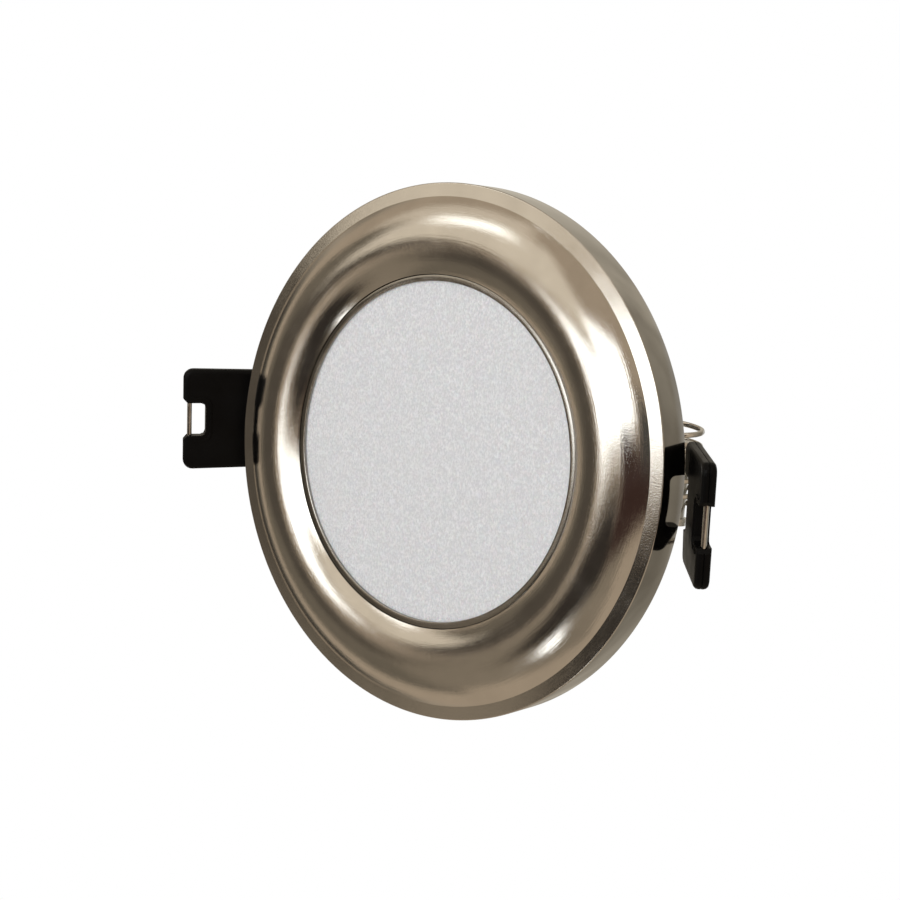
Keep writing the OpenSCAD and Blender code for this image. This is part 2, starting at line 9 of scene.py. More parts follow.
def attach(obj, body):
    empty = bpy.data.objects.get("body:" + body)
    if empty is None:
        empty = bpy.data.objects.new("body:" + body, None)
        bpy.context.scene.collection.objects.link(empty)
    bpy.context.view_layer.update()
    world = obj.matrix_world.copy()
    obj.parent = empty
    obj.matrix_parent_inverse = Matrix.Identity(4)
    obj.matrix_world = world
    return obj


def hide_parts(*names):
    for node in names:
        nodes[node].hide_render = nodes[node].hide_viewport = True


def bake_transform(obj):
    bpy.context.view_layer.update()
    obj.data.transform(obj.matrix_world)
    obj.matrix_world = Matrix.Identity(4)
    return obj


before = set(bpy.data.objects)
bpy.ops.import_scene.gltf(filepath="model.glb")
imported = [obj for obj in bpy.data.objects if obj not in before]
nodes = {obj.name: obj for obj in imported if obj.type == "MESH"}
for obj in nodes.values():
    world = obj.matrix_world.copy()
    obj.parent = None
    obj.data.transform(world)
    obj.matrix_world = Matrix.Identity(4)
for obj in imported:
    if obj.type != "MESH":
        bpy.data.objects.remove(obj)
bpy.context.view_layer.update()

MM = 0.001


def sin(a):
    """Sine of an angle in degrees."""
    return math.sin(math.radians(a))


def cos(a):
    """Cosine of an angle in degrees."""
    return math.cos(math.radians(a))


# ---- Sizes of part.scad that the new pieces repeat, in millimetres and degrees ----
# Flange plate of the housing
PLATE_TOP = -1.0
PLATE_BOTTOM = -3.0

# Trim ring, from its rear rim to the lip of its opening
RIM_Z = -0.5
TRIM_R = 61.0
TRIM_H = 8.8
TRIM_WALL = 1.4
BAND_W = 3.15  # flat band outside the bead
BAND_DROP = 0.2  # from the bead's crease back to the front edge
BEAD_W = 17.55
BEAD_LEAD = 1.4  # the bead's inner edge stands in front of its outer crease
BEAD_CROWN = 2.7  # above the chord between the bead's edges
EDGE_R = 0.3
RIM_ROUND = 0.2
HEM_WALL = 1.2
HEM_H = 4.8
CREASE_Z = RIM_Z - TRIM_H
CREASE_R = TRIM_R - BAND_W
LIP_Z = CREASE_Z - BEAD_LEAD
OPEN_R = CREASE_R - BEAD_W
HEM_R = OPEN_R + HEM_WALL
HEM_Z = LIP_Z + HEM_H

# The bead's arc, on the chord from its outer crease to the lip
BEAD_CHORD = math.hypot(CREASE_R - OPEN_R, BEAD_LEAD)
BEAD_R = ((BEAD_CHORD / 2) ** 2 + BEAD_CROWN**2) / (2 * BEAD_CROWN)
BEAD_TILT = math.degrees(math.atan2(BEAD_LEAD, CREASE_R - OPEN_R))
BEAD_HALF = math.degrees(math.asin(BEAD_CHORD / 2 / BEAD_R))
BEAD_CENTRE = (
    (CREASE_R + OPEN_R) / 2 - sin(BEAD_TILT) * (BEAD_R - BEAD_CROWN),
    (CREASE_Z + LIP_Z) / 2 + cos(BEAD_TILT) * (BEAD_R - BEAD_CROWN),
)
CROWN_Z = (CREASE_Z + LIP_Z) / 2 - cos(BEAD_TILT) * BEAD_CROWN

# Screw bosses on the back of the bead
BOSS_R = 47.32  # radius of the circle that they stand on
BOSS_D = 6.2
BOSS_TURNS = (45, 135, 225, 315)
SCREW_HOLE_D = 3.1
SCREW_HOLE_DEPTH = 6.3

# Lens ring
SLIDE_GAP = 0.15
SLEEVE_WALL = 0.8
LIP_W = 1.45
LIP_T = 0.7
LIP_BACK = 0.2  # behind the trim ring's lip
RING_FLANGE_T = 0.8
LENS_RING_R = OPEN_R - SLIDE_GAP
LENS_INNER_R = LENS_RING_R - SLEEVE_WALL
LIP_R = LENS_RING_R - LIP_W
LIP_FRONT_Z = LIP_Z + LIP_BACK
DIFFUSER_Z = LIP_FRONT_Z + LIP_T
CLAMP_Z = HEM_Z + RING_FLANGE_T

# Clips: a paddle's place from its pivot, and the wire's run through it
PIVOT_X = 51.0
PIVOT_Z = 13.8
FACE_BACK = 0.6  # inner face of a paddle, measured from its pivot
STOP_GAP = 0.2  # between that face and the rim that it closes on
CUTOUT_W = 11.6
LEG_START = 18.0  # from the pivot to the root end of the short leg
LONG_LEG_START = 11.6
PADDLE_SHIFT = 0.5
PADDLE_SKEW = 4.0
PADDLE_ROLL = 2.8
BAR_X = 37.4  # cross bar of the U, which shows in the tip's notch
ARM_Y = 10.4
ARM_Z = 1.55
STOP_R = math.hypot(TRIM_R - PIVOT_X, PIVOT_Z - RIM_Z)
STOP_SLOPE = math.degrees(math.atan2(PIVOT_Z - RIM_Z, TRIM_R - PIVOT_X))
LEAN = STOP_SLOPE - math.degrees(math.asin((FACE_BACK + STOP_GAP) / STOP_R))

# Spring: the first turns of its coil pass either side of a bracket's ear
WIRE_D = 1.2
COIL_R = 4.2
COIL_PITCH = 3.4
COIL_TURNS = 5
EAR_Y = 8.05
COIL_Y = -EAR_Y - 1.5 * COIL_PITCH

# Its ends: the foot on the flange plate, the arm into the short leg, the U through both legs
FOOT_GAP = 0.1
FOOT_TOP = PIVOT_Z - 2.0
MOUTH_OUT = 1.0
ARM_IN = 3.0
BAR_IN = 1.0
BAR_END_OUT = 1.0
COIL_BEND = 4.0
MOUTH_BEND = 2.0
BAR_BEND = 0.8

# Fineness of the turned and wound meshes
TRIM_SEGMENTS = 288
LENS_SEGMENTS = 256
COIL_STEPS = 36


# ---- Mesh helpers ----
def new_object(name, bm, material, sharp=32):
    """Object from a bmesh in metres, shaded smooth, with edges over the given angle left sharp."""
    bm.normal_update()
    for face in bm.faces:
        face.smooth = True
    for edge in bm.edges:
        edge.smooth = len(edge.link_faces) == 2 and edge.calc_face_angle(0) < math.radians(sharp)
    mesh = bpy.data.meshes.new(name)
    bm.to_mesh(mesh)
    bm.free()
    obj = bpy.data.objects.new(name, mesh)
    bpy.context.scene.collection.objects.link(obj)
    for m in material if isinstance(material, (list, tuple)) else [material]:
        mesh.materials.append(m)
    return obj


def turned_points(centre, start, end, steps):
    """Points from centre + start to centre + end, round the centre."""
    turn = start.angle(end)
    points = []
    for k in range(steps + 1):
        t = k / steps
        points.append(centre + (start * math.sin((1 - t) * turn) + end * math.sin(t * turn)) / math.sin(turn))
    return points


def round_corners(outline, radii, steps=4):
    """Closed outline of (r, z) points with each corner rounded by its own radius."""
    out = []
    count = len(outline)
    for i, radius in enumerate(radii):
        corner = Vector(outline[i])
        if not radius:
            out.append(corner)
            continue
        u = (Vector(outline[i - 1]) - corner).normalized()
        v = (Vector(outline[(i + 1) % count]) - corner).normalized()
        half = u.angle(v) / 2
        centre = corner + (u + v).normalized() * radius / math.sin(half)
        cut = radius / math.tan(half)
        out += turned_points(centre, corner + u * cut - centre, corner + v * cut - centre, steps)
    return out


def revolve(bm, outline, segments, zones=None):
    """Turns a closed (r, z) outline in millimetres round Z. UV: turn, then metres along the outline.
    zones gives a face row's material index from its middle (r, z)."""
    uv = bm.loops.layers.uv.verify()
    count = len(outline)
    run = [0.0]
    for i in range(count):
        a, b = outline[i], outline[(i + 1) % count]
        run.append(run[-1] + math.hypot(b[0] - a[0], b[1] - a[1]) * MM)
    rings = []
    for s in range(segments):
        a = 2 * math.pi * s / segments
        rings.append([bm.verts.new((r * MM * math.cos(a), r * MM * math.sin(a), z * MM)) for r, z in outline])
    for s in range(segments):
        near, far = rings[s], rings[(s + 1) % segments]
        for i in range(count):
            j = (i + 1) % count
            face = bm.faces.new((near[i], far[i], far[j], near[j]))
            if zones:
                a, b = outline[i], outline[j]
                face.material_index = zones((a[0] + b[0]) / 2, (a[1] + b[1]) / 2)
            corners = ((s, i), (s + 1, i), (s + 1, i + 1), (s, i + 1))
            for loop, (turn, step) in zip(face.loops, corners):
                loop[uv].uv = (turn / segments, run[step])
    bmesh.ops.recalc_face_normals(bm, faces=bm.faces)


def fillet(points, radii, steps=7):
    """Open path with the corners named in radii turned into arcs, by index."""
    straight, most_of_leg = math.radians(89.5), 0.48
    out = [points[0]]
    for i in range(1, len(points) - 1):
        a, corner, c = points[i - 1], points[i], points[i + 1]
        radius = radii.get(i, 0)
        u, v = a - corner, c - corner
        reach = min(u.length, v.length) * most_of_leg
        u.normalize()
        v.normalize()
        half = u.angle(v) / 2
        if not radius or half > straight:
            out.append(corner)
            continue
        cut = min(radius / math.tan(half), reach)
        centre = corner + (u + v).normalized() * cut * math.tan(half) / math.sin(half)
        out += turned_points(centre, corner + u * cut - centre, corner + v * cut - centre, steps)
    out.append(points[-1])
    return out


def tube(name, path, diameter, material, sides=20):
    """Round wire along a path in millimetres, with domed ends. UV: metres along, then the turn."""
    dome_height, dome_angles = 0.5, (25, 50, 75)
    off_path = Vector((0.3, 1, 0.2))
    bm = bmesh.new()
    uv = bm.loops.layers.uv.verify()
    tangents = []
    for i in range(len(path)):
        ahead = path[min(i + 1, len(path) - 1)] - path[min(i, len(path) - 2)]
        behind = path[max(i, 1)] - path[max(i - 1, 0)]
        tangents.append((ahead.normalized() + behind.normalized()).normalized())
    rows = [(path[i], tangents[i], diameter / 2) for i in range(len(path))]
    for at_end in (False, True):
        point, tangent, radius = rows[-1] if at_end else rows[0]
        sign = 1 if at_end else -1
        cap = [(point + tangent * sign * radius * dome_height * sin(a), tangent, radius * cos(a))
               for a in dome_angles]
        rows = rows + cap if at_end else cap[::-1] + rows
    side = tangents[0].cross(off_path).normalized()
    rings, lengths, length = [], [], 0.0
    for i, (point, tangent, radius) in enumerate(rows):
        if i:
            length += (point - rows[i - 1][0]).length * MM
        side = (side - tangent * side.dot(tangent)).normalized()
        other = tangent.cross(side)
        lengths.append(length)
        rings.append([
            bm.verts.new((point + (side * cos(360 * k / sides) + other * sin(360 * k / sides)) * radius) * MM)
            for k in range(sides)
        ])
    for i in range(len(rings) - 1):
        for k in range(sides):
            n = (k + 1) % sides
            face = bm.faces.new((rings[i][k], rings[i][n], rings[i + 1][n], rings[i + 1][k]))
            for loop, (step, turn) in zip(face.loops, ((i, k), (i, k + 1), (i + 1, k + 1), (i + 1, k))):
                loop[uv].uv = (lengths[step], turn / sides)
    bm.faces.new(rings[0][::-1])
    bm.faces.new(rings[-1])
    bmesh.ops.recalc_face_normals(bm, faces=bm.faces)
    return new_object(name, bm, material, sharp=60)


# ---- Material helpers ----
def add(tree, kind, inputs=None, **properties):
    """A node with its inputs set by name or number: a socket is linked, anything else is the value."""
    node = tree.nodes.new(kind)
    for key, value in properties.items():
        setattr(node, key, value)
    for key, value in (inputs or {}).items():
        if isinstance(value, bpy.types.NodeSocket):
            tree.links.new(value, node.inputs[key])
        else:
            node.inputs[key].default_value = value
    return node


def calculated(tree, operation, one, two):
    return add(tree, "ShaderNodeMath", {0: one, 1: two}, operation=operation).outputs[0]


def look(name, colour, metallic=0.0, roughness=0.5, **sockets):
    """A material with the whole-surface values on the shader's own sockets."""
    material = bpy.data.materials.new(name)
    material.use_nodes = True
    shader = material.node_tree.nodes["Principled BSDF"]
    shader.inputs["Base Color"].default_value = (*colour, 1)
    shader.inputs["Metallic"].default_value = metallic
    shader.inputs["Roughness"].default_value = roughness
    for key, value in sockets.items():
        shader.inputs[key.replace("_", " ")].default_value = value
    return material, material.node_tree, shader


def place(tree, kind="Object", stretch=(1, 1, 1)):
    """Texture coordinates in metres, stretched along each axis."""
    source = add(tree, "ShaderNodeTexCoord").outputs[kind]
    return add(tree, "ShaderNodeMapping", {"Vector": source, "Scale": stretch}).outputs["Vector"]


def noise(tree, where, size_mm, detail=3.0, rough=0.55):
    """Noise of about the given feature size."""
    return add(tree, "ShaderNodeTexNoise", {
        "Vector": where, "Scale": 1000 / size_mm, "Detail": detail, "Roughness": rough,
    }).outputs["Fac"]


def spread(tree, value, low, high, start=0.3, end=0.7):
    """Carries the range start to end of a value to the range low to high."""
    return add(tree, "ShaderNodeMapRange", {
        "Value": value, "From Min": start, "From Max": end, "To Min": low, "To Max": high,
    }).outputs["Result"]


def mixed(tree, factor, one, two):
    """Colour one where the factor is 0 and colour two where it is 1."""
    node = add(tree, "ShaderNodeMix", data_type="RGBA")
    for index, value in ((0, factor), (6, one), (7, two)):
        if isinstance(value, bpy.types.NodeSocket):
            tree.links.new(value, node.inputs[index])
        else:
            node.inputs[index].default_value = value if index == 0 else (*value, 1)
    return node.outputs[2]


def shade(colour, factor, lift=0.0):
    """A lighter or darker tone of a colour."""
    return tuple(min(1, c * factor + lift) for c in colour)


def bump(tree, height, depth_mm, under=None):
    inputs = {"Height": height, "Distance": depth_mm * MM, "Strength": 1.0}
    if under:
        inputs["Normal"] = under
    return add(tree, "ShaderNodeBump", inputs).outputs["Normal"]


def softened(tree, radius_mm):
    """Normals that round an edge over, for pressed and cast parts."""
    return add(tree, "ShaderNodeBevel", {"Radius": radius_mm * MM}, samples=4).outputs["Normal"]


def connect(tree, shader, **links):
    names = {"colour": "Base Color", "roughness": "Roughness", "normal": "Normal", "tangent": "Tangent"}
    for key, socket in links.items():
        tree.links.new(socket, shader.inputs[names[key]])


# ---- Materials ----
NICKEL = (0.55, 0.53, 0.495)
DARK_NICKEL = (0.34, 0.33, 0.31)


def turned_nickel(name, rough, lines, smudge, specks, metal=NICKEL):
    """Plated metal with fine turning lines round the axis. The mesh's UV runs round, then along the
    profile. lines and specks are (size, depth) in millimetres; smudge is how far roughness wanders."""
    material, tree, shader = look(name, metal, 1.0, rough, Anisotropic=0.35)
    fine = noise(tree, place(tree, "UV", (0.016, 1, 1)), lines[0], 4, 0.7)
    broad = noise(tree, place(tree), 9, 3)
    grain = noise(tree, place(tree), specks[0], 3, 0.7)
    colour = mixed(tree, spread(tree, broad, 0, 1), shade(metal, 0.95), shade(metal, 1.05))
    streaks = spread(tree, fine, -smudge, smudge)
    wear = calculated(tree, "ADD", streaks, spread(tree, broad, rough - smudge, rough + smudge))
    normal = bump(tree, grain, specks[1], bump(tree, fine, lines[1]))
    tangent = add(tree, "ShaderNodeTangent", direction_type="RADIAL", axis="Z").outputs["Tangent"]
    connect(tree, shader, colour=colour, roughness=wear, normal=normal, tangent=tangent)
    return material


def wire_steel():
    """Drawn spring wire: fine lines along its length and a little dulling."""
    material, tree, shader = look("drawn_spring_wire", (0.6, 0.58, 0.54), 1.0, 0.12)
    lines = noise(tree, place(tree, "UV", (0.05, 0.012, 1)), 0.06, 3, 0.6)
    dull = noise(tree, place(tree), 2.5, 3)
    connect(tree, shader,
            colour=mixed(tree, spread(tree, dull, 0, 1), (0.5, 0.48, 0.44), (0.68, 0.66, 0.62)),
            roughness=spread(tree, dull, 0.08, 0.18), normal=bump(tree, lines, 0.004))
    return material


def frosted_lens():
    """Frosted acrylic with a fine orange-peel face; bright specks in its colour are painted glints."""
    material, tree, shader = look("frosted_acrylic", (0.8, 0.8, 0.81), 0.0, 0.3, IOR=1.49,
                                  Subsurface_Weight=0.1, Subsurface_Scale=0.001)
    where = place(tree, stretch=(1, 0.6, 1))
    grain = noise(tree, where, 0.42, 3, 0.65)
    cloud = noise(tree, where, 12, 3)
    peel = noise(tree, where, 1.4, 2)
    # Painted glints: bright specks where the grain is high, on top of the glints that the bump catches
    specks = mixed(tree, spread(tree, grain, 0, 1, 0.48, 0.68), (0.77, 0.762, 0.785), (0.99, 0.983, 1.0))
    colour = mixed(tree, spread(tree, cloud, 0, 0.3), specks, (0.8, 0.8, 0.815))
    normal = bump(tree, grain, 0.4, bump(tree, peel, 0.16))
    connect(tree, shader, colour=colour, roughness=spread(tree, grain, 0.2, 0.4), normal=normal)
    return material


def moulded(name, colour, roughness, grain_mm, depth_mm, edge_mm, **sockets):
    """Moulded plastic or rubber: fine even grain, faint patches and rounded edges."""
    material, tree, shader = look(name, colour, 0.0, roughness, **sockets)
    where = place(tree)
    patch = noise(tree, where, 7, 3)
    grain = noise(tree, where, grain_mm, 3, 0.6)
    connect(tree, shader,
            colour=mixed(tree, spread(tree, patch, 0, 1), shade(colour, 0.9), shade(colour, 1.12, 0.001)),
            roughness=spread(tree, patch, roughness - 0.05, roughness + 0.06),
            normal=bump(tree, grain, depth_mm, softened(tree, edge_mm)))
    return material


def plain_metal(name, colour, rough, grain_mm, depth_mm, edge_mm, stretch=(1, 1, 1)):
    """Cast, blasted, rolled or plated metal, by its grain and stretch."""
    material, tree, shader = look(name, colour, 1.0, rough)
    patch = noise(tree, place(tree), 6, 4)
    grain = noise(tree, place(tree, stretch=stretch), grain_mm, 3, 0.6)
    connect(tree, shader,
            colour=mixed(tree, spread(tree, patch, 0, 1), shade(colour, 0.88), shade(colour, 1.08)),
            roughness=spread(tree, patch, rough - 0.06, rough + 0.08),
            normal=bump(tree, grain, depth_mm, softened(tree, edge_mm)))
    return material


def circuit_board():
    """White solder mask over faint copper tracks."""
    material, tree, shader = look("white_solder_mask", (0.84, 0.84, 0.81), 0.0, 0.35)
    where = place(tree)
    tracks = add(tree, "ShaderNodeTexVoronoi", {"Vector": where, "Scale": 130.0},
                 feature="DISTANCE_TO_EDGE", voronoi_dimensions="2D").outputs["Distance"]
    raised = spread(tree, tracks, 0, 1, 0.04, 0.06)
    connect(tree, shader, colour=mixed(tree, raised, (0.76, 0.77, 0.72), (0.86, 0.86, 0.84)),
            roughness=spread(tree, noise(tree, where, 3, 2), 0.3, 0.42),
            normal=bump(tree, raised, 0.03, softened(tree, 0.1)))
    return material


def phosphor():
    """Grainy yellow resin."""
    material, tree, shader = look("phosphor_resin", (0.86, 0.72, 0.25), 0.0, 0.3, Coat_Weight=0.4)
    grain = noise(tree, place(tree), 0.12, 3, 0.7)
    connect(tree, shader,
            colour=mixed(tree, spread(tree, grain, 0, 1), (0.8, 0.62, 0.16), (0.92, 0.82, 0.38)),
            roughness=spread(tree, grain, 0.22, 0.4), normal=bump(tree, grain, 0.01))
    return material


def foam():
    """Closed-cell foam: small cells all over, with painted shade darkening the middle of each cell."""
    material, tree, shader = look("closed_cell_foam", (0.03, 0.03, 0.032), 0.0, 0.85, Sheen_Weight=0.15)
    where = place(tree)
    cells = add(tree, "ShaderNodeTexVoronoi", {"Vector": where, "Scale": 1000 / 0.7},
                feature="F1").outputs["Distance"]
    # Painted shade: the colour is darkest in the middle of each cell, where the bump is lowest
    pit_painted_shade = spread(tree, cells, 0, 1, 0.1, 0.7)
    connect(tree, shader, colour=mixed(tree, pit_painted_shade, (0.018, 0.018, 0.02), (0.05, 0.05, 0.052)),
            roughness=spread(tree, noise(tree, where, 2, 2), 0.78, 0.92), normal=bump(tree, cells, 0.12))
    return material


satin = turned_nickel("satin_nickel_turned", 0.09, (0.42, 0.025), 0.04, (0.4, 0.013))
polished = turned_nickel("nickel_side_wall", 0.07, (0.3, 0.001), 0.02, (0.5, 0.001))
banded = turned_nickel("nickel_rim_band", 0.12, (0.35, 0.013), 0.04, (0.34, 0.017))
ring_look = turned_nickel("nickel_lens_ring", 0.16, (0.3, 0.01), 0.05, (0.4, 0.01), DARK_NICKEL)
spring_wire = wire_steel()
lens_look = frosted_lens()
paddle_look = moulded("black_moulded_paddle", (0.002, 0.0018, 0.0018), 0.36, 0.22, 0.008, 0.25,
                      IOR=1.25, Specular_IOR_Level=0.3)
gland_look = moulded("black_nylon", (0.02, 0.02, 0.021), 0.42, 0.3, 0.012, 0.2)
rubber_look = moulded("black_rubber", (0.03, 0.03, 0.03), 0.68, 0.4, 0.02, 0.2)
silicone_look = moulded("grey_silicone", (0.42, 0.42, 0.43), 0.55, 0.5, 0.015, 0.1)
reflector_look = moulded("white_moulded_reflector", (0.88, 0.88, 0.88), 0.28, 0.5, 0.006, 0.15)
socket_look = moulded("white_plug_socket", (0.88, 0.87, 0.83), 0.35, 0.3, 0.008, 0.15)
thermal_look = moulded("thermal_sheet", (0.33, 0.43, 0.49), 0.75, 0.5, 0.02, 0.1)
cast_look = plain_metal("cast_blasted_aluminium", (0.56, 0.565, 0.575), 0.46, 0.35, 0.03, 0.25)
zinc_look = plain_metal("bright_zinc_plate", (0.66, 0.655, 0.63), 0.26, 0.12, 0.004, 0.15, (1, 0.12, 1))
board_look = circuit_board()
led_look = phosphor()
foam_look = foam()

CAD_LOOKS = {
    "lens_ring": ring_look, "diffuser": lens_look, "lens_gasket": silicone_look,
    "reflector": reflector_look, "led_board": board_look, "leds": led_look,
    "board_connector": socket_look, "board_screws": zinc_look, "thermal_pad": thermal_look,
    "rear_housing": cast_look, "heat_sink": cast_look, "trim_screws": zinc_look,
    "flange_gasket": foam_look, "gland_body": gland_look, "gland_seal": rubber_look,
    "gland_cap": gland_look, "bracket_screws": zinc_look, "left_bracket": zinc_look,
    "right_bracket": zinc_look, "left_pin": zinc_look, "right_pin": zinc_look,
    "left_spring": spring_wire, "right_spring": spring_wire, "left_paddle": paddle_look,
    "right_paddle": paddle_look, "trim_ring": satin,
}
for node_name, node_look in CAD_LOOKS.items():
    for material_slot in nodes[node_name].material_slots:
        material_slot.material = node_look


# ---- Trim ring and lens ring: finer turnings of the same profiles ----
def arc(centre, radius, start, end, steps):
    return [
        (centre[0] + radius * cos(start + (end - start) * i / steps),
         centre[1] + radius * sin(start + (end - start) * i / steps))
        for i in range(steps + 1)
    ]


def trim_profile():
    """Closed outline: side wall and front edge, the bead's front, the hem, and the inside back up."""
    inner = BEAD_R - TRIM_WALL
    outer_angle = BEAD_HALF + BEAD_TILT - 90
    lip_angle = BEAD_TILT - 90 - BEAD_HALF
    hem_angle = -math.degrees(math.acos((HEM_R - BEAD_CENTRE[0]) / inner))
    front_z = CREASE_Z + BAND_DROP
    rim = arc((TRIM_R - RIM_ROUND, RIM_Z - RIM_ROUND), RIM_ROUND, 90, 0, 5)
    edge = arc((TRIM_R - EDGE_R, front_z + EDGE_R), EDGE_R, 0, -90, 8)
    front = arc(BEAD_CENTRE, BEAD_R, outer_angle, lip_angle, 72)
    hem = [(OPEN_R, HEM_Z), (HEM_R, HEM_Z)]
    back = arc(BEAD_CENTRE, inner, hem_angle, outer_angle, 30)
    inside = [(TRIM_R - TRIM_WALL, front_z + TRIM_WALL), (TRIM_R - TRIM_WALL, RIM_Z)]
    return rim + edge + front + hem + back + inside


def trim_zone(r, z):
    """Material index of the outline at (r, z): 0 bead and inside, 1 side wall, 2 rim band."""
    on_wall, past_edge = TRIM_R - 0.05, CREASE_Z + BAND_DROP + 0.1
    if r > on_wall and z > past_edge:
        return 1
    return 2 if r > CREASE_R else 0


def add_bosses(bm):
    """Blind screw bosses that stand on the back of the bead."""
    hole_floor = PLATE_BOTTOM - SCREW_HOLE_DEPTH
    foot = CROWN_Z + TRIM_WALL / 2
    steps = [(SCREW_HOLE_D / 2, hole_floor), (SCREW_HOLE_D / 2, PLATE_BOTTOM),
             (BOSS_D / 2, PLATE_BOTTOM), (BOSS_D / 2, foot)]
    facet_angles = range(0, 360, 12)
    for turn in BOSS_TURNS:
        x, y = BOSS_R * cos(turn), BOSS_R * sin(turn)
        rings = [[bm.verts.new(((x + r * cos(a)) * MM, (y + r * sin(a)) * MM, z * MM)) for a in facet_angles]
                 for r, z in steps]
        bm.faces.new(rings[0])
        bm.faces.new(rings[-1])
        for one, two in zip(rings, rings[1:]):
            for k in range(len(one)):
                bm.faces.new((one[k - 1], one[k], two[k], two[k - 1]))
    bmesh.ops.recalc_face_normals(bm, faces=bm.faces)


def trim_ring():
    bm = bmesh.new()
    revolve(bm, trim_profile(), TRIM_SEGMENTS, trim_zone)
    add_bosses(bm)
    piece = new_object("trim_ring_turned", bm, [satin, polished, banded], sharp=22)
    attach(piece, "body")
    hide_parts("trim_ring")


def lens_ring():
    outline = [
        (LIP_R, LIP_FRONT_Z), (LENS_RING_R, LIP_FRONT_Z), (LENS_RING_R, HEM_Z), (HEM_R, HEM_Z),
        (HEM_R, CLAMP_Z), (LENS_INNER_R, CLAMP_Z), (LENS_INNER_R, DIFFUSER_Z), (LIP_R, DIFFUSER_Z),
    ]
    corner_radii = [0.25, 0.12, 0, 0, 0.1, 0.1, 0, 0.1]
    bm = bmesh.new()
    revolve(bm, round_corners(outline, corner_radii), LENS_SEGMENTS)
    piece = new_object("lens_ring_turned", bm, ring_look, sharp=28)
    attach(piece, "body")
    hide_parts("lens_ring")


trim_ring()
lens_ring()


# ---- Springs: wound wire and the U through each paddle ----
def on_paddle(x, y, z):
    """From the paddle's own axes to the closed clip's: skewed, rolled and shifted along its pin."""
    v = y + CUTOUT_W / 2
    w = v * cos(PADDLE_ROLL) - z * sin(PADDLE_ROLL) - CUTOUT_W / 2
    return Vector((x * cos(PADDLE_SKEW) - w * sin(PADDLE_SKEW),
                   x * sin(PADDLE_SKEW) + w * cos(PADDLE_SKEW) + PADDLE_SHIFT,
                   v * sin(PADDLE_ROLL) + z * cos(PADDLE_ROLL) - FACE_BACK))


def to_object(p, side):
    """From the clip's frame to the object's; the left clip is the mirror of the right one."""
    x = PIVOT_X + p.x * cos(LEAN) + p.z * sin(LEAN)
    z = PIVOT_Z - p.x * sin(LEAN) + p.z * cos(LEAN)
    return Vector((x * side, p.y, z))


def to_clip(x, y, z):
    """From the object's frame to the right clip's."""
    x, z = x - PIVOT_X, z - PIVOT_Z
    return Vector((x * cos(LEAN) - z * sin(LEAN), y, x * sin(LEAN) + z * cos(LEAN)))


# The arm leaves the coil on the tangent that meets the short leg's mouth
MOUTH = on_paddle(LEG_START - MOUTH_OUT, ARM_Y, ARM_Z)
ARM_TILT = math.degrees(math.asin(COIL_R / math.hypot(MOUTH.x, MOUTH.z)) - math.atan2(MOUTH.z, MOUTH.x))
COIL_START = -90 - LEAN
COIL_END = ARM_TILT + 360 * COIL_TURNS


def coil_path():
    rings = COIL_STEPS * math.ceil((COIL_END - COIL_START) / 360)
    path = []
    for i in range(rings + 1):
        a = COIL_START + (COIL_END - COIL_START) * i / rings
        y = COIL_Y + COIL_PITCH * (a - COIL_START) / 360
        path.append(Vector((COIL_R * sin(a), y, COIL_R * cos(a))))
    return path


def wound_wire(side_name, side):
    """The coil with its foot and arm, which winds between body and clip, and the U in the paddle."""
    clip = side_name + "_clip"
    node_name = side_name + "_spring"
    foot_x = PIVOT_X - COIL_R
    foot = [to_clip(foot_x, COIL_Y, PLATE_TOP + FOOT_GAP), to_clip(foot_x, COIL_Y, FOOT_TOP)]
    wire = foot + coil_path() + [MOUTH, on_paddle(LEG_START + ARM_IN, ARM_Y, ARM_Z)]
    last = len(wire) - 1
    wire = fillet(wire, {last - 2: COIL_BEND, last - 1: MOUTH_BEND})
    coil_piece = tube(node_name + "_coil", [to_object(p, side) for p in wire], WIRE_D, spring_wire)
    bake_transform(coil_piece)
    corners = [on_paddle(LEG_START + BAR_IN, ARM_Y, ARM_Z), on_paddle(BAR_X, ARM_Y, ARM_Z),
               on_paddle(BAR_X, -ARM_Y, ARM_Z), on_paddle(LONG_LEG_START - BAR_END_OUT, -ARM_Y, ARM_Z)]
    bar = fillet(corners, {1: BAR_BEND, 2: BAR_BEND})
    bar_piece = tube(node_name + "_bar", [to_object(p, side) for p in bar], WIRE_D, spring_wire)
    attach(bar_piece, clip)
    for piece in (coil_piece, bar_piece):
        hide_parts(node_name)


wound_wire("right", 1)
wound_wire("left", -1)


# ---- Floor, light and world. The camera sees a pale floor and a white world; metal mirrors a tan
# room, as in the photograph, so glossy rays have their own floor and world ----
FLOOR_Z = -0.72
FLOOR_GLOW = 0.42
LAMP_COLOUR = (0.95, 0.985, 1)
ROOM_LIGHT = 0.6
ROOM_COLOUR = (1, 0.985, 0.965)
BACKDROP = (1, 1, 1)
TAN_FLOOR = (0.56, 0.45, 0.335)
TAN_WALL = (0.5, 0.42, 0.325)
BROWN_WALL = (0.29, 0.26, 0.21)
SAND_WALL = (0.5, 0.45, 0.37)
DARK_FOOT = (0.18, 0.16, 0.125)
DARK_WALL = (0.04, 0.035, 0.03)
CEILING = (0.95, 0.94, 0.92)
STREAK = (0.12, 0.1, 0.075)
WINDOW = (0.58, 0.53, 0.44)
WINDOW_SIDE = (-0.9, -0.44, 0)


def rays(tree, kind):
    return add(tree, "ShaderNodeLightPath").outputs[kind]


def seen(tree):
    """1 for camera and transmission rays."""
    return calculated(tree, "MAXIMUM", rays(tree, "Is Camera Ray"), rays(tree, "Is Transmission Ray"))


